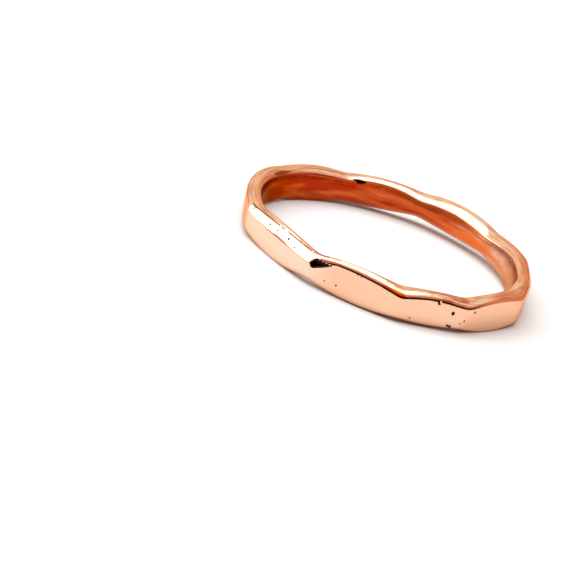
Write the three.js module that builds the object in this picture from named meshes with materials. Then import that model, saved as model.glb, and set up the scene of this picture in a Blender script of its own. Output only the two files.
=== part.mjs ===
// A narrow stacking ring, hammered and polished: one solid band of rose-gold metal that
// lies on its side. Millimetres, +Z up. The origin is on the finger axis, in the plane
// that the ring rests on. Angles go anticlockwise from +X, seen from above.

import * as THREE from 'three';

// Driving dimensions
const BORE = 17.3;        // inside diameter, a US size 7
const WALL = 1.25;        // thickness through the ridges between two hammered flats
const BAND_WIDTH = 2.0;   // along the finger, before the hammer spread it
const HAMMER = 0.3;       // how far a blow spread the edges of its flat
const SHOULDER = 0.3;     // rounding of the two outer edges
const LIP = 0.15;         // rounding of the two inner edges
const WEAR = 0.1;         // how much is worn off the lowest spots, which the ring rests on

// Over how many degrees the polish has softened each ridge
const RIDGE_BLEND_ANGLE = 6;

// Mesh steps: sections round the ring, faces across each rounding, samples of a soft ridge
const SECTIONS = 160;
const SHOULDER_STEPS = 5;
const LIP_STEPS = 3;
const BLEND_SAMPLES = 7;

// Handle of a cubic curve as a share of its corner: a quarter circle, and a flat bevel
const ROUND_HANDLE_SHARE = 0.55;
const FLAT_HANDLE_SHARE = 0.12;

// The most of a side that the rounding of one of its corners may take
const MOST_SIDE_SHARE = 0.6;

// The hammered flats in order round the ring. Each row starts at its ridge.
//   at      the ridge's angle on the top edges, and slant, how far it moves on the low
//           edges: degrees
//   outer   outer radius at the ridge, lean, how much nearer to the axis the low outer
//           edge is, and inner, the bore's radius: shares of WALL
//   thin    how much thinner the wall is half-way along the flat: share of WALL
//   topOut, topIn, lowOut, lowIn   heights of the four edges at the ridge, from the
//           band's middle: shares of half the BAND_WIDTH
//   riseOut, riseIn, dropOut, dropIn   how far the same edges stand out further half-way
//           along the flat: shares of HAMMER
//   topCut, lowCut   how far the top and low shoulders cut into the outer face at the
//           ridge: shares of SHOULDER
const COLUMNS = ['at', 'slant', 'outer', 'lean', 'inner', 'thin', 'topOut', 'topIn', 'lowOut',
  'lowIn', 'riseOut', 'riseIn', 'dropOut', 'dropIn', 'topCut', 'lowCut'];
const FLATS = [
  [0, 0, 0.80, 0, -0.10, 0.08, 0.88, 0.93, 0.97, 0.97, -0.4, 0.0, 1.2, 1.1, 1.2, 1.0],
  [22, 0, 1.03, 0, -0.02, 0.10, 0.94, 0.98, 0.95, 0.95, 0.4, 0.1, 0.3, 0.1, 1.0, 1.0],
  [45, 0, 0.98, 0, 0.00, 0.08, 0.95, 0.62, 0.90, 0.55, 1.3, 0.7, 0.4, 0.5, 1.0, 1.0],
  [81, 0, 0.99, 0, 0.02, 0.22, 0.98, 0.64, 0.90, 0.45, 0.8, 1.0, 0.6, 0.6, 1.0, 1.0],
  [115, 0, 0.90, 0, -0.08, 0.16, 0.76, 0.63, 0.96, 0.96, 0.9, 0.2, 1.2, 1.1, 1.0, 1.0],
  [148, 0, 0.95, 0.12, -0.08, 0.02, 0.87, 0.85, 0.97, 0.98, 0.6, 0.1, 0.4, 0.4, 1.0, 1.0],
  [181, 0, 0.89, 0.26, 0.07, 0.05, 0.91, 0.89, 0.96, 0.96, -0.1, 0.0, 0.4, 0.4, 1.0, 1.2],
  [204, 0, 1.00, 0.07, 0.07, 0.35, 0.87, 0.83, 0.97, 0.97, -0.3, 1.3, 1.5, 1.0, 1.0, 2.0],
  [244, -2, 0.88, 0, 0.10, 0.27, 0.94, 0.72, 0.80, 0.92, 1.1, 1.0, 1.0, 0.6, 1.5, 1.7],
  [280, 0, 1.04, 0, 0.01, 0.21, 0.74, 0.82, 1.00, 0.98, 0.9, 0.6, 0.5, 0.4, 1.7, 1.2],
  [308, -3, 1.02, 0, 0.04, 0.23, 0.71, 0.80, 0.97, 0.97, 1.0, 0.5, 1.1, 1.0, 1.4, 1.0],
  [340, 0, 1.02, 0, 0.01, 0.11, 0.86, 0.95, 1.02, 0.98, 0.9, 0.6, 0.5, 0.4, 1.4, 1.0],
].map((row) => Object.fromEntries(COLUMNS.map((name, i) => [name, row[i]])));

// One flat has its top shoulder hammered into a long bevel, which deepens along the flat
// and runs out past its last ridge. Angles in degrees; startShare and endShare, down the
// outer face, and reachShare, inwards, come on top of the shoulder's own and are shares
// of SHOULDER.
const BEVEL = {
  fromAngle: 204, toAngle: 244, runInAngle: 4, runOutAngle: 10,
  startShare: 0.5, endShare: 1.0, reachShare: 0.2,
};

// The four long edges of the band: where each one's sizes stand in the table
const EDGES = {
  topOut: {
    side: 1, radius: 'outer', thin: 1, lean: 0, height: 'topOut', spread: 'riseOut', cut: 'topCut',
  },
  topIn: { side: 1, radius: 'inner', thin: 0, lean: 0, height: 'topIn', spread: 'riseIn' },
  lowOut: {
    side: -1, radius: 'outer', thin: 1, lean: 1, height: 'lowOut', spread: 'dropOut', cut: 'lowCut',
  },
  lowIn: { side: -1, radius: 'inner', thin: 0, lean: 0, height: 'lowIn', spread: 'dropIn' },
};

const mix = (a, b, t) => a + (b - a) * t;

const wrap = (degrees) => ((degrees % 360) + 360) % 360;

function ridgeAngle(flat, edge) {
  return flat.at + (edge.side < 0 ? flat.slant : 0);
}

// The flat that an angle falls on, the ridge after it, and how far along it is (0 to 1)
function placeOn(edge, angle) {
  for (let i = 0; i < FLATS.length; i += 1) {
    const flat = FLATS[i];
    const next = FLATS[(i + 1) % FLATS.length];
    const span = wrap(ridgeAngle(next, edge) - ridgeAngle(flat, edge));
    const along = wrap(angle - ridgeAngle(flat, edge));
    if (along < span) return { flat, next, t: along / span };
  }
  throw new Error(`no flat holds the angle ${angle}`);
}

// One edge at one angle, before the polish softens its ridges
function hammeredEdge(edge, angle) {
  const { flat, next, t } = placeOn(edge, angle);
  const between = (column) => mix(flat[column], next[column], t);
  const middle = 4 * t * (1 - t);
  const nearer = edge.lean * between('lean') + edge.thin * flat.thin * middle;
  return {
    radius: BORE / 2 + WALL * (between(edge.radius) - nearer),
    height: edge.side * (BAND_WIDTH / 2 * between(edge.height) + HAMMER * flat[edge.spread] * middle),
    cut: edge.cut ? SHOULDER * between(edge.cut) : LIP,
  };
}

// The same edge, averaged over the width of a softened ridge
function softenedEdge(edge, angle) {
  const sum = { radius: 0, height: 0, cut: 0 };
  for (let i = 0; i < BLEND_SAMPLES; i += 1) {
    const offset = RIDGE_BLEND_ANGLE * ((i + 0.5) / BLEND_SAMPLES - 0.5);
    const sample = hammeredEdge(edge, angle + offset);
    for (const name of Object.keys(sum)) sum[name] += sample[name] / BLEND_SAMPLES;
  }
  return sum;
}

// How much of the bevel there is at an angle: 1 along its flat, 0 away from it
function bevelPresence(angle) {
  const before = wrap(BEVEL.fromAngle - angle);
  const after = wrap(angle - BEVEL.toAngle);
  if (before > 180 && after > 180) return 1;
  return Math.max(0, 1 - before / BEVEL.runInAngle, 1 - after / BEVEL.runOutAngle);
}

// Where a corner's rounding starts on the side that runs from it to a neighbour
function roundingStart(corner, neighbour, reach) {
  const along = neighbour.clone().sub(corner);
  return corner.clone().add(along.setLength(Math.min(reach, MOST_SIDE_SHARE * along.length())));
}

// A rounded corner, as points from one side to the other, both ends included
function roundedCorner(before, corner, after, reachBefore, reachAfter, handle, steps) {
  const start = roundingStart(corner, before, reachBefore);
  const end = roundingStart(corner, after, reachAfter);
  const curve = new THREE.CubicBezierCurve(
    start,
    start.clone().lerp(corner, handle),
    end.clone().lerp(corner, handle),
    end,
  );
  return curve.getPoints(steps);
}

// One section through the band, as points of radius and height, in order round it:
// over the top shoulder, down the outer face, under the band and up the bore
function section(angle) {
  const corner = {};
  const cut = {};
  for (const [name, edge] of Object.entries(EDGES)) {
    const sizes = softenedEdge(edge, angle);
    corner[name] = new THREE.Vector2(sizes.radius, sizes.height);
    cut[name] = sizes.cut;
  }
  const { topOut, topIn, lowOut, lowIn } = corner;
  const bevel = bevelPresence(angle);
  const along = THREE.MathUtils.clamp(
    (angle - BEVEL.fromAngle) / (BEVEL.toAngle - BEVEL.fromAngle), 0, 1);
  const bevelCut = SHOULDER * bevel * mix(BEVEL.startShare, BEVEL.endShare, along);
  const bevelReach = SHOULDER * bevel * BEVEL.reachShare;
  const bevelHandle = mix(ROUND_HANDLE_SHARE, FLAT_HANDLE_SHARE, bevel);
  return [
    ...roundedCorner(topIn, topOut, lowOut, SHOULDER + bevelReach, cut.topOut + bevelCut,
      bevelHandle, SHOULDER_STEPS),
    ...roundedCorner(topOut, lowOut, lowIn, cut.lowOut, SHOULDER, ROUND_HANDLE_SHARE, SHOULDER_STEPS),
    ...roundedCorner(lowOut, lowIn, topIn, cut.lowIn, cut.lowIn, ROUND_HANDLE_SHARE, LIP_STEPS),
    ...roundedCorner(lowIn, topIn, topOut, cut.topIn, cut.topIn, ROUND_HANDLE_SHARE, LIP_STEPS),
  ];
}

// The band: a closed skin over the sections, each joined to the next. It stands on its
// lowest spots, and what they reach under the resting plane is worn flat on it.
function bandGeometry() {
  const angles = Array.from({ length: SECTIONS }, (_, i) => 360 * i / SECTIONS);
  const sections = angles.map(section);
  const restHeight = Math.min(...sections.flat().map((point) => point.y)) + WEAR;
  const positions = [];
  sections.forEach((points, i) => {
    const turn = THREE.MathUtils.degToRad(angles[i]);
    for (const { x: radius, y: height } of points) {
      const lifted = Math.max(0, height - restHeight);
      positions.push(radius * Math.cos(turn), radius * Math.sin(turn), lifted);
    }
  });
  const across = sections[0].length;
  const index = (i, j) => (i % SECTIONS) * across + (j % across);
  const faces = [];
  for (let i = 0; i < SECTIONS; i += 1) {
    for (let j = 0; j < across; j += 1) {
      faces.push(index(i, j), index(i, j + 1), index(i + 1, j));
      faces.push(index(i + 1, j), index(i, j + 1), index(i + 1, j + 1));
    }
  }
  const geometry = new THREE.BufferGeometry();
  geometry.setAttribute('position', new THREE.Float32BufferAttribute(positions, 3));
  geometry.setIndex(faces);
  geometry.computeVertexNormals();
  return geometry;
}

const roseGold = new THREE.MeshStandardMaterial({
  color: 0xeda17a,
  metalness: 1,
  roughness: 0.08,
});

const band = new THREE.Mesh(bandGeometry(), roseGold);
band.name = 'band';

const ring = new THREE.Group();
ring.add(band);

export default ring;
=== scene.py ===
"""A narrow hammered stacking ring of polished rose gold, lying on its side on a pale floor."""

import math

import bpy
from mathutils import Matrix, Vector


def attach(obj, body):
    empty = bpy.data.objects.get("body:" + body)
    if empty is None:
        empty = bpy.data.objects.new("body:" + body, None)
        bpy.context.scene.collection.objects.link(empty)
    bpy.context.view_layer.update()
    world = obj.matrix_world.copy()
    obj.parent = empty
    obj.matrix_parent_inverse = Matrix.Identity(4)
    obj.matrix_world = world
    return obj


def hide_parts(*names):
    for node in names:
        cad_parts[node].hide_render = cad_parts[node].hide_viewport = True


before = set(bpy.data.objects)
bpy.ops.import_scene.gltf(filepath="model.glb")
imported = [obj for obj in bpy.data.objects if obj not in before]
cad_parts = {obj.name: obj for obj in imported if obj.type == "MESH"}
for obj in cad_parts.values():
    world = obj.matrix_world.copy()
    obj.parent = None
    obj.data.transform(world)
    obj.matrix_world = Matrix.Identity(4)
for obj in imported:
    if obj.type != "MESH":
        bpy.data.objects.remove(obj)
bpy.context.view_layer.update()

MM = 0.001

# The band's sizes, in metres, as its solid has them
BORE = 17.3 * MM
WALL = 1.25 * MM
BAND_WIDTH = 2.0 * MM
HAMMER = 0.3 * MM
SHOULDER = 0.3 * MM
LIP = 0.15 * MM
WEAR = 0.1 * MM
RIDGE_BLEND = 6.0          # degrees over which the polish has softened each ridge
WORN_AT = 0.0              # angle in degrees of the ridge that is rubbed softer
WORN_SPREAD = 12.0         # how far it is rubbed to both sides
WORN_BLEND = 14.0          # degrees over which it is softened there
ROUND_HANDLE = 0.55        # cubic handle of a quarter circle, as a share of its corner
FLAT_HANDLE = 0.12         # and of a flat bevel
MOST_OF_SIDE = 0.6         # the most of a side that one rounding may take

# The fine mesh: sections round the ring, steps over each rounding and along each side
SECTIONS = 800
ROUNDING_STEPS = 12
SIDE_STEPS = 14

# What polishing and casting left on the band, too small for the solid
OUTER_CROWN = 0.03 * MM    # how far the outer face bulges between its shoulders
BORE_CROWN = 0.08 * MM     # how far the bore bulges in, for comfort
TOP_CROWN = 0.065 * MM     # how far the top face bulges up
RIPPLE_HEIGHT = 0.010 * MM
RIPPLE_SIZE = 1.6 * MM
RIPPLE_SEED = 7
BORE_RIPPLE_HEIGHT = 0.030 * MM
BORE_RIPPLE_SIZE = 2.2 * MM
# Painted shade: a broken dark line where the bevel meets the top outer rounding
CREASE_SHADE_STARTS = (-0.02, 0.04)  # where on the top outer rounding the bevel's dark crease
CREASE_SHADE_ENDS = (0.30, 0.16)     # fades in and out, as shares of the way over it

# The hammered flats, a row for each, as in the solid: the ridge's angle and its slant in
# degrees, radii and thinning as shares of the wall, edge heights as shares of half the
# band's width, their spread half-way along the flat as shares of the hammer's, and how
# far the shoulders cut into the outer face as shares of the shoulder
FLAT_COLUMNS = ("at", "slant", "outer", "lean", "inner", "thin", "top_out", "top_in", "low_out",
                "low_in", "rise_out", "rise_in", "drop_out", "drop_in", "top_cut", "low_cut")
FLATS = (
    (0, 0, 0.80, 0, -0.10, 0.08, 0.88, 0.93, 0.97, 0.97, -0.4, 0.0, 1.2, 1.1, 1.2, 1.0),
    (22, 0, 1.03, 0, -0.02, 0.10, 0.94, 0.98, 0.95, 0.95, 0.4, 0.1, 0.3, 0.1, 1.0, 1.0),
    (45, 0, 0.98, 0, 0.00, 0.08, 0.95, 0.62, 0.90, 0.55, 1.3, 0.7, 0.4, 0.5, 1.0, 1.0),
    (81, 0, 0.99, 0, 0.02, 0.22, 0.98, 0.64, 0.90, 0.45, 0.8, 1.0, 0.6, 0.6, 1.0, 1.0),
    (115, 0, 0.90, 0, -0.08, 0.16, 0.76, 0.63, 0.96, 0.96, 0.9, 0.2, 1.2, 1.1, 1.0, 1.0),
    (148, 0, 0.95, 0.12, -0.08, 0.02, 0.87, 0.85, 0.97, 0.98, 0.6, 0.1, 0.4, 0.4, 1.0, 1.0),
    (181, 0, 0.89, 0.26, 0.07, 0.05, 0.91, 0.89, 0.96, 0.96, -0.1, 0.0, 0.4, 0.4, 1.0, 1.2),
    (204, 0, 1.00, 0.07, 0.07, 0.35, 0.87, 0.83, 0.97, 0.97, -0.3, 1.3, 1.5, 1.0, 1.0, 2.0),
    (244, -2, 0.88, 0, 0.10, 0.27, 0.94, 0.72, 0.80, 0.92, 1.1, 1.0, 1.0, 0.6, 1.5, 1.7),
    (280, 0, 1.04, 0, 0.01, 0.21, 0.74, 0.82, 1.00, 0.98, 0.9, 0.6, 0.5, 0.4, 1.7, 1.2),
    (308, -3, 1.02, 0, 0.04, 0.23, 0.71, 0.80, 0.97, 0.97, 1.0, 0.5, 1.1, 1.0, 1.4, 1.0),
    (340, 0, 1.02, 0, 0.01, 0.11, 0.86, 0.95, 1.02, 0.98, 0.9, 0.6, 0.5, 0.4, 1.4, 1.0),
)

# The long bevel hammered into one flat's top shoulder: angles in degrees, and shares of
# the shoulder that it cuts down the outer face at both ends and inwards
BEVEL_FROM, BEVEL_TO = 204, 244
BEVEL_RUN_IN, BEVEL_RUN_OUT = 4, 10
BEVEL_START_CUT, BEVEL_END_CUT = 0.5, 1.0
BEVEL_REACH = 0.2
BEVEL_FLATTENS = 0.85      # the share of the top's crown that it takes away

# Casting pits in the outer face: angle in degrees, height above the floor and width in mm
SPOT_COLUMNS = ("at", "height", "width")
PIT_SHAPE = (1.15, 0.9, 1.0)   # three extents of a pit or a bead, as shares of its width
PIT_SEED = 3
PIT_RIM = math.radians(30)     # the angle from which an edge is a sharp rim
TARNISHED_BELOW = 0.002 * MM   # how deep under the skin the tarnish starts
PITS = (
    (301.4, 1.32, 0.24),
    (310.7, 1.53, 0.16),
    (306.9, 0.92, 0.14),
    (305.4, 0.73, 0.10),
    (301.9, 0.40, 0.22),
    (300.9, 0.46, 0.19),
    (285.5, 0.50, 0.11),
    (255.9, 0.82, 0.12),
    (251.1, 0.77, 0.10),
    (217.1, 1.84, 0.16),
    (222.1, 1.85, 0.14),
    (229.3, 1.85, 0.17),
    (233.9, 1.65, 0.13),
    (294.9, 1.82, 0.26),
    (262.3, 2.02, 0.10),
    (263.9, 1.97, 0.08),
    (191.5, 1.05, 0.12),
    (166.0, 1.35, 0.11),
    (139.2, 0.75, 0.10),
    (133.4, 1.62, 0.15),
    (97.0, 1.12, 0.11),
    (72.3, 1.50, 0.10),
    (64.0, 0.84, 0.14),
    (30.5, 1.20, 0.12),
    (350.0, 0.90, 0.08),
)

# The blackened dents, the painted red reflection, the brown smudge and the scratched stretch: the
# face they are in, the angle and height of the middle, how far they reach round the ring before
# and after it, how much they rise per mm on the way, and their width and depth, in mm. On
# the top face a distance from the bore stands for the height.
DENTS = (
    ("outer", 245.4, 1.54, 0.22, 1.15, 0.30, 0.60, 0.08),
    ("inner", 110.5, 1.92, 0.60, 0.65, 0.02, 0.24, 0.02),
)
# Painted reflection: a deep red band on the front shoulder, between its dark line and its highlight
RED_REFLECTION_PATCHES = (
    ("outer", 279.6, 1.80, 1.80, 0.40, -0.17, 0.42, 0.0),
)
SMUDGES = (
    ("top", 154.0, 0.14, 1.50, 1.30, 0.0, 0.40, 0.0),
)
SCRATCHES = (
    ("top", 299.0, 0.70, 1.90, 1.50, 0.0, 1.20, 0.0),
)
TAPER = 0.85               # the share of its width that each loses on its longer side

# Small beads of metal left on the outer face: angle, height and width
BEADS = (
    (295.4, 1.86, 0.17),
)

# A section's corners in the order of its outline, and what the finished mesh has no use for
CORNERS = ("top_outer", "low_outer", "low_inner", "top_inner")
USED_UP = CORNERS + ("angle", "bevel_cut", "corner", "over", "aside", "at", "height", "width")

# The metal's colours, as the shares of red, green and blue light that it mirrors
POLISHED_GOLD = ((0.83, 0.485, 0.315, 1.0), (0.84, 0.515, 0.345, 1.0))
# The bore's colours are painted reflection: the deep red of light bounced several times off the
# metal, lighter and mottled towards +X
BORE_RED_REFLECTION = ((0.66, 0.145, 0.030, 1.0), (0.36, 0.026, 0.005, 1.0))
PALE_BORE_REFLECTION = ((0.75, 0.42, 0.28, 1.0), (0.62, 0.28, 0.15, 1.0))
STREAK_BROWN = (0.52, 0.26, 0.16, 1.0)
# Painted reflection: a light cream standing in for a brighter floor mirrored in the bevel's outer
# face
PAINTED_BEVEL_REFLECTION = (0.87, 0.63, 0.49, 1.0)
# Painted reflection: the deep red of the front shoulder's band
PAINTED_RED_REFLECTION = (0.80, 0.16, 0.02, 1.0)
SCRATCH_BROWN = (0.36, 0.11, 0.05, 1.0)
SMUDGE_BROWN = (0.30, 0.10, 0.05, 1.0)
# Black for the soot in the dents, and for painted shade along the bevel's top edge
SOOT_AND_SHADE_BLACK = (0.016, 0.004, 0.002, 1.0)
GLANCING_TINT = (0.82, 0.53, 0.36, 1.0)
PIT_BLACK = ((0.012, 0.006, 0.004, 1.0), (0.04, 0.015, 0.008, 1.0))

# How much of the metal a streak, the bevel's painted reflection, a scratch and the satin take up
STREAK_SHARE = 0.7
BEVEL_REFLECTION_SHARE = 0.7
SCRATCH_SHARE = 0.8
SATIN_SHARE = 0.4

# How rough the polished metal is, how much its grain and the bore's dullness add, how deep
# its fine lines are, and the share of that depth on the sides and what the top adds to it
POLISH_ROUGHNESS = 0.03
GRAIN_ROUGHNESS = 0.06
BORE_ROUGHNESS = 0.12
LINE_DEPTH = 0.009 * MM
LINES_ON_SIDES = 0.08
LINES_ON_TOP = 0.92

# The studio's colours, and its softboxes: name, place and size in metres, how many degrees
# each is tilted from facing down towards +X, and how bright it is
TENT_WHITE = (1.15, 1.15, 1.15, 1.0)
WARM_SIDE = (0.80, 0.36, 0.24, 1.0)
DARK_GAP = (0.03, 0.012, 0.006, 1.0)
FLOOR_GREY = (0.58, 0.58, 0.58, 1.0)
FLOOR_HALF = 1.5
SOFTBOXES = (
    ("overhead_softbox", (-0.2375, 0.015, 0.5), (0.825, 0.57), 0, 3.0),
    ("left_softbox", (-0.6, -0.065, 0.37), (0.57, 0.63), 90, 3.2),
)


class Rule:
    """A number or vector inside a node tree, so that a rule for the band reads as a sum."""

    def __init__(self, tree, socket):
        self.tree = tree
        self.socket = socket

    def is_vector(self):
        return self.socket.type == "VECTOR"

    def combined(self, operation, other=None):
        """This rule and another one put through a math node. A number scales a vector."""
        if self.is_vector():
            if operation == "MULTIPLY" and not (isinstance(other, Rule) and other.is_vector()):
                node = put(self.tree, "ShaderNodeVectorMath", operation="SCALE")
                feed(self.tree, node.inputs["Scale"], other)
                feed(self.tree, node.inputs[0], self)
                return Rule(self.tree, node.outputs[0])
            node = put(self.tree, "ShaderNodeVectorMath", operation=operation)
        else:
            node = put(self.tree, "ShaderNodeMath", operation=operation)
        feed(self.tree, node.inputs[0], self)
        if other is not None:
            feed(self.tree, node.inputs[1], other)
        return Rule(self.tree, node.outputs[0])

    def __add__(self, other):
        return self.combined("ADD", other)

    def __sub__(self, other):
        return self.combined("SUBTRACT", other)

    def __mul__(self, other):
        return self.combined("MULTIPLY", other)

    def __truediv__(self, other):
        return self.combined("DIVIDE", other)

    def least(self, other):
        return self.combined("MINIMUM", other)

    def most(self, other):
        return self.combined("MAXIMUM", other)

    def direction(self):
        return self.combined("NORMALIZE")

    def length(self):
        node = put(self.tree, "ShaderNodeVectorMath", {0: self}, operation="LENGTH")
        return Rule(self.tree, node.outputs["Value"])

    def parts(self):
        node = put(self.tree, "ShaderNodeSeparateXYZ", {0: self})
        return [Rule(self.tree, socket) for socket in node.outputs]


def feed(tree, socket, value):
    """Links a rule or a socket into a node's socket, or sets it to a plain value."""
    if isinstance(value, Rule):
        tree.links.new(value.socket, socket)
    elif isinstance(value, bpy.types.NodeSocket):
        tree.links.new(value, socket)
    else:
        socket.default_value = value


def put(tree, kind, sockets=None, **settings):
    """Adds a node, sets its properties and fills its sockets."""
    node = tree.nodes.new(kind)
    for name, setting in settings.items():
        setattr(node, name, setting)
    for key, value in (sockets or {}).items():
        feed(tree, node.inputs[key], value)
    return node


def rule(tree, kind, sockets=None, out=0, **settings):
    """Adds a node and gives one of its outputs as a rule."""
    return Rule(tree, put(tree, kind, sockets, **settings).outputs[out])


def vector(tree, x, y, z):
    """Three rules or numbers as one vector."""
    return rule(tree, "ShaderNodeCombineXYZ", {0: x, 1: y, 2: z})


def chosen(tree, index, options, data_type="VECTOR"):
    """The option whose place in the list is the index."""
    node = put(tree, "GeometryNodeIndexSwitch", data_type=data_type)
    while len(node.index_switch_items) < len(options):
        node.index_switch_items.new()
    feed(tree, node.inputs[0], index)
    for i, option in enumerate(options):
        feed(tree, node.inputs[i + 1], option)
    return Rule(tree, node.outputs[0])


def stored(tree, geometry, name, value, data_type="FLOAT"):
    """The geometry with a value kept on its points under a name."""
    node = put(tree, "GeometryNodeStoreNamedAttribute", data_type=data_type, domain="POINT")
    feed(tree, node.inputs["Geometry"], geometry)
    feed(tree, node.inputs["Name"], name)
    feed(tree, node.inputs["Value"], value)
    return node.outputs["Geometry"]


def kept(tree, name, data_type="FLOAT"):
    """A value kept on the points under a name."""
    return rule(tree, "GeometryNodeInputNamedAttribute", {"Name": name}, data_type=data_type)


def moved(tree, geometry, **sockets):
    """The geometry with its points at a new Position or pushed by an Offset."""
    sockets["Geometry"] = geometry
    return put(tree, "GeometryNodeSetPosition", sockets).outputs[0]


def eased(tree, value, start, end):
    """0 up to start, 1 from end on, straight between."""
    node = put(tree, "ShaderNodeMapRange", {"Value": value, "From Min": start, "From Max": end})
    return Rule(tree, node.outputs["Result"])


def grain(tree, place, scale=1.0, detail=2.0, depth=None):
    """Random grain from 0 to 1 over a place, which also changes with a depth if one is given."""
    sockets = {"Vector": place, "Scale": scale, "Detail": detail}
    if depth is None:
        return rule(tree, "ShaderNodeTexNoise", sockets)
    sockets["W"] = depth
    return rule(tree, "ShaderNodeTexNoise", sockets, noise_dimensions="4D")


def mixed(tree, share, first, second):
    """The first colour where the share is 0, and the second where it is 1."""
    return rule(tree, "ShaderNodeMix", {0: share, 6: first, 7: second}, out=2, data_type="RGBA")


def carried(tree, name):
    """A value that the band's mesh carries under a name, for its material."""
    return rule(tree, "ShaderNodeAttribute", out=2, attribute_name=name)


def new_tree(name, sizes):
    """A geometry tree with a geometry in and out and one named input for each size."""
    tree = bpy.data.node_groups.new(name, "GeometryNodeTree")
    tree.interface.new_socket("Geometry", in_out="INPUT", socket_type="NodeSocketGeometry")
    tree.interface.new_socket("Geometry", in_out="OUTPUT", socket_type="NodeSocketGeometry")
    for label, (kind, _) in sizes.items():
        tree.interface.new_socket(label, in_out="INPUT", socket_type=kind)
    return tree


def tabled_mesh(name, columns, rows, places, edges=()):
    """An object whose mesh has a point for each row of a table and keeps each column by name."""
    mesh = bpy.data.meshes.new(name)
    mesh.from_pydata(places, edges, [])
    for i, column in enumerate(columns):
        values = mesh.attributes.new(column, "FLOAT", "POINT")
        values.data.foreach_set("value", [float(row[i]) for row in rows])
    thing = bpy.data.objects.new(name, mesh)
    bpy.context.scene.collection.objects.link(thing)
    return thing


def grown(thing, tree, sizes):
    """Runs the tree on the object, sizes set by socket identifier, and gives a plain mesh."""
    modifier = thing.modifiers.new(tree.name, "NODES")
    modifier.node_group = tree
    for item in tree.interface.items_tree:
        if item.in_out == "INPUT" and item.name in sizes:
            modifier[item.identifier] = sizes[item.name][1]
    depsgraph = bpy.context.evaluated_depsgraph_get()
    mesh = bpy.data.meshes.new_from_object(thing.evaluated_get(depsgraph))
    thing.modifiers.remove(modifier)
    return mesh


def hammered_edges(tree, table, angle, size):
    """Radius, height and cut of the band's four long edges at an angle, as vectors."""

    def ruler(slanted):
        """The table laid out as a line whose length is the ridges' angle."""
        at = kept(tree, "at")
        place = at + kept(tree, "slant") if slanted else at
        laid_out = moved(tree, table, Position=vector(tree, place, 0.0, 0.0))
        return put(tree, "GeometryNodeMeshToCurve", {"Mesh": laid_out}).outputs[0]

    def between_ridges(line, value):
        """The value at the angle, straight from each ridge to the next."""
        node = put(tree, "GeometryNodeSampleCurve", data_type="FLOAT", mode="LENGTH")
        feed(tree, node.inputs["Curves"], line)
        feed(tree, node.inputs["Value"], value)
        feed(tree, node.inputs["Length"], angle)
        return Rule(tree, node.outputs["Value"])

    edges = {}
    for slanted, level, spread, side in ((False, "top", "rise", 1.0), (True, "low", "drop", -1.0)):
        line = ruler(slanted)
        place = between_ridges(line, rule(tree, "GeometryNodeInputIndex"))
        flat = place.combined("FLOOR")
        along = place.combined("FRACT")
        middle = along * (along * -1.0 + 1.0) * 4.0

        def of_flat(column):
            """The flat's own value, in full half-way along it and nothing at its ridges."""
            sampled = rule(tree, "GeometryNodeSampleIndex", {"Geometry": table,
                           "Value": kept(tree, column), "Index": flat}, data_type="FLOAT")
            return sampled * middle

        for face, part in (("outer", "out"), ("inner", "in")):
            share = between_ridges(line, kept(tree, face))
            if face == "outer":
                share = share - of_flat("thin")
                if level == "low":
                    share = share - between_ridges(line, kept(tree, "lean"))
                cut = between_ridges(line, kept(tree, f"{level}_cut")) * size["Shoulder"]
            else:
                cut = size["Lip"]
            radius = share * size["Wall"] + size["Bore"] * 0.5
            height = between_ridges(line, kept(tree, f"{level}_{part}")) * size["Band width"] * 0.5
            height = (height + of_flat(f"{spread}_{part}") * size["Hammer"]) * side
            edges[f"{level}_{face}"] = vector(tree, radius, height, cut)
    return edges


def band_sections(tree, table, size):
    """A closed line with a point for each section, which keeps what its section needs."""
    line = put(tree, "GeometryNodeCurvePrimitiveCircle",
               {"Resolution": size["Sections"], "Radius": size["Bore"] * 0.5}).outputs[0]
    angle = rule(tree, "GeometryNodeInputIndex") * 360.0 / size["Sections"]
    line = stored(tree, line, "angle", angle)
    angle = kept(tree, "angle")
    for name, edge in hammered_edges(tree, table, angle, size).items():
        line = stored(tree, line, name, edge, "FLOAT_VECTOR")

    def softened(value, steps):
        """The value averaged with its neighbours round the ring, so many times."""
        sockets = {"Value": value, "Iterations": steps}
        return rule(tree, "GeometryNodeBlurAttribute", sockets, data_type="FLOAT_VECTOR")

    # Degrees from the worn ridge, the shorter way round
    from_worn = (angle - WORN_AT).combined("ABSOLUTE")
    from_worn = from_worn.least(from_worn * -1.0 + 360.0)
    worn = eased(tree, from_worn, WORN_SPREAD, WORN_SPREAD / 3)
    for name in CORNERS:
        ridged = softened(kept(tree, name, "FLOAT_VECTOR"), size["Ridge softness"])
        rubbed = softened(ridged, size["Worn ridge softness"])
        line = stored(tree, line, name, ridged + (rubbed - ridged) * worn, "FLOAT_VECTOR")
    here = eased(tree, angle, BEVEL_FROM - BEVEL_RUN_IN, BEVEL_FROM)
    bevel = here.least(eased(tree, angle, BEVEL_TO + BEVEL_RUN_OUT, BEVEL_TO))
    line = stored(tree, line, "bevel", bevel)
    along = eased(tree, angle, BEVEL_FROM, BEVEL_TO)
    deepening = along * (BEVEL_END_CUT - BEVEL_START_CUT) + BEVEL_START_CUT
    return stored(tree, line, "bevel_cut", deepening * bevel)


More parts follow.
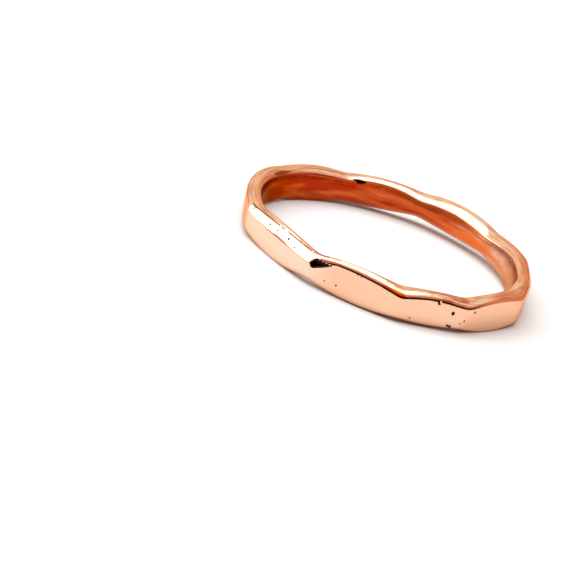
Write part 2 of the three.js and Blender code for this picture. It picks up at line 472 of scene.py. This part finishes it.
def band_outline(tree):
    """A closed line with a point for each step across the band, which keeps its corner, how
    far over the corner's rounding and along the side after it the point is, and how far it
    belongs to the painted shade at the bevel's top edge, the bore and the top."""
    steps = ROUNDING_STEPS + SIDE_STEPS
    line = put(tree, "GeometryNodeCurvePrimitiveCircle",
               {"Resolution": steps * len(CORNERS)}).outputs[0]
    index = rule(tree, "GeometryNodeInputIndex")
    corner = (index / float(steps)).combined("FLOOR")
    step = index - corner * float(steps)
    over = eased(tree, step, 0.0, float(ROUNDING_STEPS))
    line = stored(tree, line, "corner", corner)
    line = stored(tree, line, "over", over)
    # Painted shade along the bevel's top edge, kept under the name edge
    crease_shade = eased(tree, over, *CREASE_SHADE_STARTS) * eased(tree, over, *CREASE_SHADE_ENDS)
    line = stored(tree, line, "edge", chosen(tree, corner, [crease_shade, 0.0, 0.0, 0.0], "FLOAT"))
    left = over * -1.0 + 1.0
    line = stored(tree, line, "bore", chosen(tree, corner, [0.0, 0.0, over, left], "FLOAT"))
    line = stored(tree, line, "top", chosen(tree, corner, [left, 0.0, 0.0, over], "FLOAT"))
    return stored(tree, line, "aside", eased(tree, step, float(ROUNDING_STEPS), float(steps)))


def section_point(tree, size):
    """Where a point of the skin lies in its section, as radius and height."""
    corner = kept(tree, "corner")
    over = kept(tree, "over")
    aside = kept(tree, "aside")
    bevel = kept(tree, "bevel")
    edge = {name: kept(tree, name, "FLOAT_VECTOR") for name in CORNERS}
    flat = vector(tree, 1.0, 1.0, 0.0)

    def edges_from(first):
        """For each corner in turn, the edge that lies so many corners after it."""
        names = CORNERS[first:] + CORNERS[:first]
        return chosen(tree, corner, [edge[name] for name in names])

    here, after, before = edges_from(0), edges_from(1), edges_from(3)
    cut = {name: edge[name].parts()[2] for name in CORNERS}
    shoulder_in = size["Shoulder"] * (bevel * BEVEL_REACH + 1.0)
    shoulder_down = cut["top_outer"] + size["Shoulder"] * kept(tree, "bevel_cut")
    reach_before = [shoulder_in, cut["low_outer"], cut["low_inner"], cut["top_inner"]]
    reach_after = [shoulder_down, size["Shoulder"], cut["low_inner"], cut["top_inner"]]
    side_after = (after - here) * flat
    side_before = (before - here) * flat
    most_after = side_after.length() * MOST_OF_SIDE
    most_before = side_before.length() * MOST_OF_SIDE
    out = chosen(tree, corner, reach_after, "FLOAT").least(most_after)
    back = chosen(tree, corner, reach_before, "FLOAT").least(most_before)
    back_next = chosen(tree, corner, reach_before[1:] + reach_before[:1], "FLOAT").least(most_after)
    handle = chosen(tree, corner, [bevel * (FLAT_HANDLE - ROUND_HANDLE) + ROUND_HANDLE,
                                   ROUND_HANDLE, ROUND_HANDLE, ROUND_HANDLE], "FLOAT")
    # The rounding is a cubic curve from the side before the corner to the side after it
    left = over * -1.0 + 1.0
    loose = handle * -1.0 + 1.0
    pull_before = left * left * left + left * left * over * 3.0 * loose
    pull_after = over * over * over + left * over * over * 3.0 * loose
    rounded = here * flat + side_before.direction() * (back * pull_before)
    rounded = rounded + side_after.direction() * (out * pull_after)
    along = side_after.length() - out - back_next
    bulge = aside * (aside * -1.0 + 1.0) * 4.0
    crowns = [size["Outer crown"], 0.0, size["Bore crown"] * -1.0, 0.0]
    outwards = chosen(tree, corner, crowns, "FLOAT")
    upwards = chosen(tree, corner, [0.0, 0.0, 0.0, size["Top crown"]], "FLOAT")
    upwards = upwards * (bevel * -BEVEL_FLATTENS + 1.0)
    point = rounded + side_after.direction() * (along * aside)
    return point + vector(tree, outwards * bulge, upwards * bulge, 0.0)


def swell(tree, width, seed):
    """Smooth random waves of about the given width, between -1 and 1."""
    where = rule(tree, "GeometryNodeInputPosition") / width + vector(tree, seed, 0.0, 0.0)
    return (grain(tree, where, detail=1.0) - 0.5) * 2.0


def patches(tree, rows, size):
    """How far into a table's patches each point is, from 0 to 1, and how far it is pushed."""
    place = rule(tree, "GeometryNodeInputPosition")
    height = place.parts()[2]
    bore_radius = size["Bore"] * 0.5
    from_bore = (place * vector(tree, 1.0, 1.0, 0.0)).length() - bore_radius
    bore = kept(tree, "bore")
    pushed = covered = rule(tree, "ShaderNodeValue")
    for face, at, middle, before, after, rise, width, depth in rows:
        radius = bore_radius + size["Wall"] if face == "outer" else bore_radius
        onwards = (kept(tree, "angle") - float(at)) * radius * math.radians(1.0)
        over = onwards.most(0.0) / (after * MM) - onwards.least(0.0) / (before * MM)
        longer = after if after > before else -before
        half = eased(tree, onwards, 0.0, longer * MM) * -TAPER + 1.0
        across = from_bore if face == "top" else height
        up = (across - middle * MM - onwards * rise) / (half * (width / 2 * MM))
        on_face = {"outer": bore * -1.0 + 1.0, "inner": bore, "top": kept(tree, "top")}[face]
        # A bowl over an ellipse that narrows on its longer side
        bowl = ((over * over + up * up) * -1.0 + 1.0).most(0.0) * on_face
        pushed = pushed + bowl * (depth * MM) * (1.0 if face == "outer" else -1.0)
        covered = covered.most(bowl)
    inwards = (place * vector(tree, -1.0, -1.0, 0.0)).direction()
    return covered, inwards * pushed


def rippled(tree, skin, size):
    """The skin in the soft waves that polishing left, with deeper ones in the bore."""
    swing = swell(tree, size["Ripple size"], size["Seed"]) * size["Ripple height"]
    deep = swell(tree, size["Bore ripple size"], size["Seed"]) * size["Bore ripple height"]
    outwards = rule(tree, "GeometryNodeInputNormal")
    return moved(tree, skin, Offset=outwards * (swing + deep * kept(tree, "bore")))


def set_down(tree, skin, size):
    """The skin set down on the floor, with its lowest spots worn flat."""
    x, y, z = rule(tree, "GeometryNodeInputPosition").parts()
    lowest = put(tree, "GeometryNodeAttributeStatistic", {"Geometry": skin, 2: z},
                 data_type="FLOAT").outputs["Min"]
    lifted = (z - Rule(tree, lowest) - size["Wear"]).most(0.0)
    return moved(tree, skin, Position=vector(tree, x, y, lifted))


def band_skin(tree, size):
    """The band's closed skin: its outline swept round its sections, rippled, worn and dented."""
    sections = band_sections(tree, size["Geometry"], size)
    skin = put(tree, "GeometryNodeCurveToMesh",
               {"Curve": sections, "Profile Curve": band_outline(tree)}).outputs[0]
    radius, height, _ = section_point(tree, size).parts()
    turn = kept(tree, "angle") * math.radians(1.0)
    place = vector(tree, radius * turn.combined("COSINE"), radius * turn.combined("SINE"), height)
    skin = rippled(tree, moved(tree, skin, Position=place), size)
    skin = set_down(tree, skin, size)
    for name, rows in (("red_reflection", RED_REFLECTION_PATCHES), ("smudge", SMUDGES), ("scratched", SCRATCHES)):
        covered, _ = patches(tree, rows, size)
        skin = stored(tree, skin, name, covered)
    covered, pushed = patches(tree, DENTS, size)
    return moved(tree, stored(tree, skin, "soot", covered), Offset=pushed)


def band_tree(sizes, metal):
    """The tree that makes the band from the table of its flats."""
    tree = new_tree("hammered_band", sizes)
    entry = put(tree, "NodeGroupInput")
    size = {socket.name: Rule(tree, socket) for socket in entry.outputs if socket.name}
    skin = band_skin(tree, size)
    skin = put(tree, "GeometryNodeSetShadeSmooth", {"Geometry": skin}).outputs[0]
    whole = put(tree, "GeometryNodeRealizeInstances", {"Geometry": skin}).outputs[0]
    dressed = put(tree, "GeometryNodeSetMaterial", {"Geometry": whole, "Material": metal})
    put(tree, "NodeGroupOutput", {0: dressed.outputs[0]})
    return tree


def balls_on_face(tree, points, band, seed):
    """Uneven little balls, half sunk in the outer face in front of each point."""
    start = rule(tree, "GeometryNodeInputPosition")
    inwards = start * vector(tree, -1.0, -1.0, 0.0)
    shot = put(tree, "GeometryNodeRaycast", {"Target Geometry": band, "Ray Direction": inwards})
    on_face = moved(tree, points, Position=shot.outputs["Hit Position"])
    ball = put(tree, "GeometryNodeMeshIcoSphere", {"Radius": 0.5, "Subdivisions": 3}).outputs[0]
    width = kept(tree, "width") * MM
    turned = put(tree, "FunctionNodeRandomValue", data_type="FLOAT_VECTOR")
    feed(tree, turned.inputs["Max"], (math.tau, math.tau, math.tau))
    feed(tree, turned.inputs["Seed"], seed)
    balls = put(tree, "GeometryNodeInstanceOnPoints",
                {"Points": on_face, "Instance": ball, "Rotation": turned.outputs[0],
                 "Scale": vector(tree, *[width * share for share in PIT_SHAPE])})
    return put(tree, "GeometryNodeRealizeInstances", {0: balls.outputs[0]}).outputs[0]


def pit_tree(sizes, metal, tarnish):
    """The tree that sets the beads on the band and cuts the casting pits into it."""
    tree = new_tree("casting_pits", sizes)
    entry = put(tree, "NodeGroupInput")
    size = {socket.name: Rule(tree, socket) for socket in entry.outputs if socket.name}
    band = put(tree, "GeometryNodeObjectInfo", {"Object": size["Band"]}).outputs["Geometry"]
    spots = put(tree, "GeometryNodeObjectInfo", {"Object": size["Beads"]}).outputs["Geometry"]
    beads = balls_on_face(tree, spots, band, size["Seed"])

    def with_beads(body):
        """The body and the beads joined into one closed mesh."""
        joined = put(tree, "GeometryNodeMeshBoolean", operation="UNION", solver="MANIFOLD")
        feed(tree, joined.inputs["Mesh 2"], body)
        feed(tree, joined.inputs["Mesh 2"], beads)
        return joined.outputs["Mesh"]

    cutters = balls_on_face(tree, size["Geometry"], band, size["Seed"])
    pitted = put(tree, "GeometryNodeMeshBoolean", {0: band, 1: cutters},
                 operation="DIFFERENCE", solver="MANIFOLD").outputs["Mesh"]
    whole = put(tree, "GeometryNodeRealizeInstances", {0: with_beads(pitted)}).outputs[0]
    rims = rule(tree, "GeometryNodeInputMeshEdgeAngle").combined("GREATER_THAN", PIT_RIM)
    sharp = {"Geometry": whole, "Selection": rims, "Shade Smooth": False}
    whole = put(tree, "GeometryNodeSetShadeSmooth", sharp, domain="EDGE").outputs[0]
    whole = put(tree, "GeometryNodeSetMaterial", {"Geometry": whole, "Material": metal}).outputs[0]
    # Faces that lie below the uncut skin are the insides of the pits
    from_skin = put(tree, "GeometryNodeProximity", {"Geometry": with_beads(band)},
                    target_element="FACES").outputs["Distance"]
    centre = rule(tree, "GeometryNodeFieldOnDomain", {0: from_skin}, domain="FACE",
                  data_type="FLOAT")
    inside = centre.combined("GREATER_THAN", TARNISHED_BELOW)
    dressed = put(tree, "GeometryNodeSetMaterial",
                  {"Geometry": whole, "Selection": inside, "Material": tarnish})
    put(tree, "NodeGroupOutput", {0: dressed.outputs[0]})
    return tree


def painted_bore_reflection(tree, place, east, drifts):
    """The bore's painted reflection: a drifting deep red that stands in for light bounced several
    times off the metal, lighter and mottled towards +X.
    """
    red = mixed(tree, eased(tree, drifts - east * 0.16, start=0.34, end=0.66), *BORE_RED_REFLECTION)
    mottle = grain(tree, place, scale=1100.0, detail=3.0)
    mottled = mixed(tree, eased(tree, mottle, start=0.36, end=0.66), *PALE_BORE_REFLECTION)
    return mixed(tree, eased(tree, east + drifts - 0.5, start=0.55, end=0.85), red, mottled)


def stains_and_painted_light(tree, colour, place, lines, scratches):
    """The colour under its painted red reflection, scratches, smudge, broken dark line of painted
    shade at the bevel's top edge, and soot.
    """
    # Painted reflection: a red patch on the front shoulder
    red_reflection = eased(tree, carried(tree, "red_reflection"), start=0.10, end=0.35)
    colour = mixed(tree, red_reflection, colour, PAINTED_RED_REFLECTION)
    scratched = eased(tree, carried(tree, "scratched"), start=0.0, end=0.3)
    scratched = scratched * eased(tree, scratches, start=0.46, end=0.56) * SCRATCH_SHARE
    colour = mixed(tree, scratched, colour, SCRATCH_BROWN)
    smudge = eased(tree, carried(tree, "smudge") * (lines + 0.5), start=0.05, end=0.5)
    colour = mixed(tree, smudge, colour, SMUDGE_BROWN)
    specks = grain(tree, place, scale=1600.0)
    on_bevel = eased(tree, carried(tree, "bevel"), start=0.2, end=0.5)
    # Painted shade: a broken dark line along the bevel's top edge
    crease_shade = carried(tree, "edge") * on_bevel * eased(tree, specks, start=0.28, end=0.38)
    soot = eased(tree, carried(tree, "soot") * (specks + 0.5), start=0.06, end=0.16)
    return mixed(tree, crease_shade.most(soot), colour, SOOT_AND_SHADE_BLACK)


def polished_rose_gold():
    """Mirror-polished rose gold with brown streaks on its top, a painted reflection that lightens
    the bevel's outer face, and a duller bore with a painted deep red reflection, which is satin at
    the back and the front."""
    metal = bpy.data.materials.new("polished_rose_gold")
    metal.use_nodes = True
    tree = metal.node_tree
    shader = tree.nodes["Principled BSDF"]
    place = put(tree, "ShaderNodeTexCoord").outputs["Object"]
    x, y, z = Rule(tree, place).parts()
    radius = (x * x + y * y).combined("SQRT")
    east, north = x / radius, y / radius

    def drawn_out(stretch, height, depth=None, detail=2.0):
        """Grain drawn out round the ring, the longer the smaller its stretch."""
        where = vector(tree, east * stretch, north * stretch, z / height)
        return grain(tree, where, detail=detail, depth=radius / depth if depth else None)

    lines = drawn_out(4.0, height=0.16 * MM, depth=0.16 * MM)
    scratches = drawn_out(14.0, height=0.12 * MM, depth=0.08 * MM)
    drifts = drawn_out(2.4, height=0.55 * MM, detail=3.0)
    bore, top = carried(tree, "bore"), carried(tree, "top")
    tone = eased(tree, grain(tree, place, scale=260.0, detail=3.0), start=0.3, end=0.7)
    colour = mixed(tree, tone, *POLISHED_GOLD)
    streaks = eased(tree, lines, start=0.48, end=0.62) * top * STREAK_SHARE
    colour = mixed(tree, streaks, colour, STREAK_BROWN)
    # Painted reflection: the bevel's outer face is lightened as if it mirrored a brighter floor
    bevel_reflection = carried(tree, "bevel") * (top * -1.0 + 1.0) * BEVEL_REFLECTION_SHARE
    colour = mixed(tree, bevel_reflection, colour, PAINTED_BEVEL_REFLECTION)
    # The bore takes its painted reflection colours
    colour = mixed(tree, bore, colour, painted_bore_reflection(tree, place, east, drifts))
    feed(tree, shader.inputs["Base Color"], stains_and_painted_light(tree, colour, place, lines, scratches))
    shader.inputs["Specular Tint"].default_value = GLANCING_TINT
    shader.inputs["Specular IOR Level"].default_value = 0.1
    satin = eased(tree, east, start=-0.4, end=0.2) * eased(tree, east, start=0.9, end=0.7)
    feed(tree, shader.inputs["Metallic"], bore * satin * -SATIN_SHARE + 1.0)
    rough = grain(tree, place, scale=900.0, detail=4.0) * GRAIN_ROUGHNESS + POLISH_ROUGHNESS
    feed(tree, shader.inputs["Roughness"], rough + bore * BORE_ROUGHNESS)
    strength = top * LINES_ON_TOP + LINES_ON_SIDES
    bump = {"Height": lines, "Strength": strength, "Distance": LINE_DEPTH}
    feed(tree, shader.inputs["Normal"], put(tree, "ShaderNodeBump", bump).outputs[0])
    return metal


def pit_tarnish():
    """The near-black oxide in a casting pit."""
    oxide = bpy.data.materials.new("pit_tarnish")
    oxide.use_nodes = True
    tree = oxide.node_tree
    shader = tree.nodes["Principled BSDF"]
    shader.inputs["Roughness"].default_value = 0.8
    place = put(tree, "ShaderNodeTexCoord").outputs["Object"]
    crust = mixed(tree, grain(tree, place, scale=9000.0), *PIT_BLACK)
    feed(tree, shader.inputs["Base Color"], crust)
    return oxide


def softness_steps(degrees):
    """How often neighbours are averaged to soften a ridge over so many degrees."""
    spread = degrees / math.sqrt(12.0) / (360.0 / SECTIONS)
    return round(1.5 * spread * spread)


def spots_round_band(name, rows):
    """A point outside the band, level with its spot on the outer face, for each row."""
    outside = BORE / 2 + 4 * WALL
    places = []
    for at, height, _ in rows:
        turn = math.radians(at)
        places.append((outside * math.cos(turn), outside * math.sin(turn), height * MM))
    return tabled_mesh(name, SPOT_COLUMNS, rows, places)


def make_band(metal, tarnish):
    """The whole ring as one mesh."""
    first_again = (FLATS[0][0] + 360,) + FLATS[0][1:]
    rows = FLATS + (first_again,)
    places = [(row[0], 0.0, 0.0) for row in rows]
    table = tabled_mesh("flats_table", FLAT_COLUMNS, rows, places,
                        [(i, i + 1) for i in range(len(rows) - 1)])
    sizes = {
        "Bore": ("NodeSocketFloat", BORE),
        "Wall": ("NodeSocketFloat", WALL),
        "Band width": ("NodeSocketFloat", BAND_WIDTH),
        "Hammer": ("NodeSocketFloat", HAMMER),
        "Shoulder": ("NodeSocketFloat", SHOULDER),
        "Lip": ("NodeSocketFloat", LIP),
        "Wear": ("NodeSocketFloat", WEAR),
        "Ridge softness": ("NodeSocketInt", softness_steps(RIDGE_BLEND)),
        "Worn ridge softness": ("NodeSocketInt", softness_steps(WORN_BLEND)),
        "Sections": ("NodeSocketInt", SECTIONS),
        "Outer crown": ("NodeSocketFloat", OUTER_CROWN),
        "Bore crown": ("NodeSocketFloat", BORE_CROWN),
        "Top crown": ("NodeSocketFloat", TOP_CROWN),
        "Ripple height": ("NodeSocketFloat", RIPPLE_HEIGHT),
        "Ripple size": ("NodeSocketFloat", RIPPLE_SIZE),
        "Bore ripple height": ("NodeSocketFloat", BORE_RIPPLE_HEIGHT),
        "Bore ripple size": ("NodeSocketFloat", BORE_RIPPLE_SIZE),
        "Seed": ("NodeSocketInt", RIPPLE_SEED),
    }
    plain = bpy.data.objects.new("plain_band", grown(table, band_tree(sizes, metal), sizes))
    bpy.context.scene.collection.objects.link(plain)
    bpy.data.objects.remove(table)
    pits = spots_round_band("pits_table", PITS)
    beads = spots_round_band("beads_table", BEADS)
    pit_sizes = {
        "Band": ("NodeSocketObject", plain),
        "Beads": ("NodeSocketObject", beads),
        "Seed": ("NodeSocketInt", PIT_SEED),
    }
    mesh = grown(pits, pit_tree(pit_sizes, metal, tarnish), pit_sizes)
    for thing in (pits, beads, plain):
        bpy.data.objects.remove(thing)
    for name in [attribute.name for attribute in mesh.attributes]:
        if name in USED_UP:
            mesh.attributes.remove(mesh.attributes[name])
    mesh.name = "hammered_band"
    band = bpy.data.objects.new("hammered_band", mesh)
    bpy.context.scene.collection.objects.link(band)
    return band


# The camera looks at the ring as the photo does, from these angles, with the ring's
# centre at this pixel of the photo's frame and this many pixels to the millimetre there
PHOTO_SIZE = 576
RING_PIXEL = (386.8, 244.0)
PIXELS_PER_MM = 15.53
CAMERA_ELEVATION = math.radians(20.9)
CAMERA_ROLL = math.radians(19.5)
CAMERA_DISTANCE = 197 * MM
RING_MIDDLE = Vector((0, 0, 1.21 * MM))
SENSOR = 36.0


def make_camera():
    """A long lens that keeps the photo's framing without shifting the picture."""
    focal_pixels = PIXELS_PER_MM / MM * CAMERA_DISTANCE
    data = bpy.data.cameras.new("camera")
    data.sensor_width = SENSOR
    data.lens = focal_pixels / PHOTO_SIZE * SENSOR
    data.clip_start = 0.01
    data.clip_end = 10.0
    forwards = Vector((0, math.cos(CAMERA_ELEVATION), -math.sin(CAMERA_ELEVATION)))
    level = Vector((1, 0, 0))
    upright = level.cross(forwards)
    right = level * math.cos(CAMERA_ROLL) + upright * math.sin(CAMERA_ROLL)
    up = upright * math.cos(CAMERA_ROLL) - level * math.sin(CAMERA_ROLL)
    aside = (RING_PIXEL[0] - PHOTO_SIZE / 2) / focal_pixels * CAMERA_DISTANCE
    below = (RING_PIXEL[1] - PHOTO_SIZE / 2) / focal_pixels * CAMERA_DISTANCE
    place = RING_MIDDLE - forwards * CAMERA_DISTANCE - right * aside + up * below
    camera = bpy.data.objects.new("camera", data)
    turn = Matrix((right, up, -forwards)).transposed().to_4x4()
    camera.matrix_world = Matrix.Translation(place) @ turn
    bpy.context.scene.collection.objects.link(camera)
    bpy.context.scene.camera = camera


def make_floor():
    """A wide, plain, pale floor."""
    corners = [(x * FLOOR_HALF, y * FLOOR_HALF, 0) for x, y in ((-1, -1), (1, -1), (1, 1), (-1, 1))]
    mesh = bpy.data.meshes.new("floor")
    mesh.from_pydata(corners, [], [(0, 1, 2, 3)])
    floor = bpy.data.objects.new("floor", mesh)
    bpy.context.scene.collection.objects.link(floor)
    paint = bpy.data.materials.new("pale_floor")
    paint.use_nodes = True
    shader = paint.node_tree.nodes["Principled BSDF"]
    shader.inputs["Base Color"].default_value = FLOOR_GREY
    shader.inputs["Roughness"].default_value = 0.9
    shader.inputs["Specular IOR Level"].default_value = 0.1
    mesh.materials.append(paint)


def softbox(name, place, size, tilt, radiance):
    """A rectangular softbox, tilted from facing down towards +X, evenly as bright as asked."""
    data = bpy.data.lights.new(name, "AREA")
    data.shape = "RECTANGLE"
    data.size, data.size_y = size
    data.energy = radiance * math.pi * size[0] * size[1]
    light = bpy.data.objects.new(name, data)
    light.location = place
    light.rotation_euler = (0.0, -math.radians(tilt), 0.0)
    bpy.context.scene.collection.objects.link(light)


def light_the_studio():
    """A pale tent with warm lower sides, open and dark low on the camera's side, and a
    softbox overhead and at the left."""
    world = bpy.data.worlds.new("studio")
    bpy.context.scene.world = world
    world.use_nodes = True
    tree = world.node_tree
    x, y, z = Rule(tree, put(tree, "ShaderNodeTexCoord").outputs["Generated"]).parts()
    level = (x * x + y * y).combined("SQRT").most(0.001)

    def side(east, north, start, end):
        """How much of each direction belongs to the side of the studio that lies that way."""
        return eased(tree, (x * east + y * north) / level, start, end)

    open_side = side(0.26, -0.966, start=0.10, end=0.28)
    right_side = side(0.87, 0.5, start=0.5, end=0.8)
    left_foot = side(-0.94, 0.34, start=0.4, end=0.6) * eased(tree, z, start=0.16, end=0.13)
    lower_sides = open_side.most(right_side) * eased(tree, z, start=0.74, end=0.62)
    tent = mixed(tree, lower_sides.most(left_foot), TENT_WHITE, WARM_SIDE)
    gap = open_side * eased(tree, z, start=0.42, end=0.30)
    background = tree.nodes["Background"]
    feed(tree, background.inputs["Color"], mixed(tree, gap, tent, DARK_GAP))
    for name, place, size, tilt, radiance in SOFTBOXES:
        softbox(name, place, size, tilt, radiance)


make_camera()
make_floor()
light_the_studio()
ring = make_band(polished_rose_gold(), pit_tarnish())
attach(ring, "root")
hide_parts("band")

bpy.context.scene.view_settings.view_transform = "Standard"
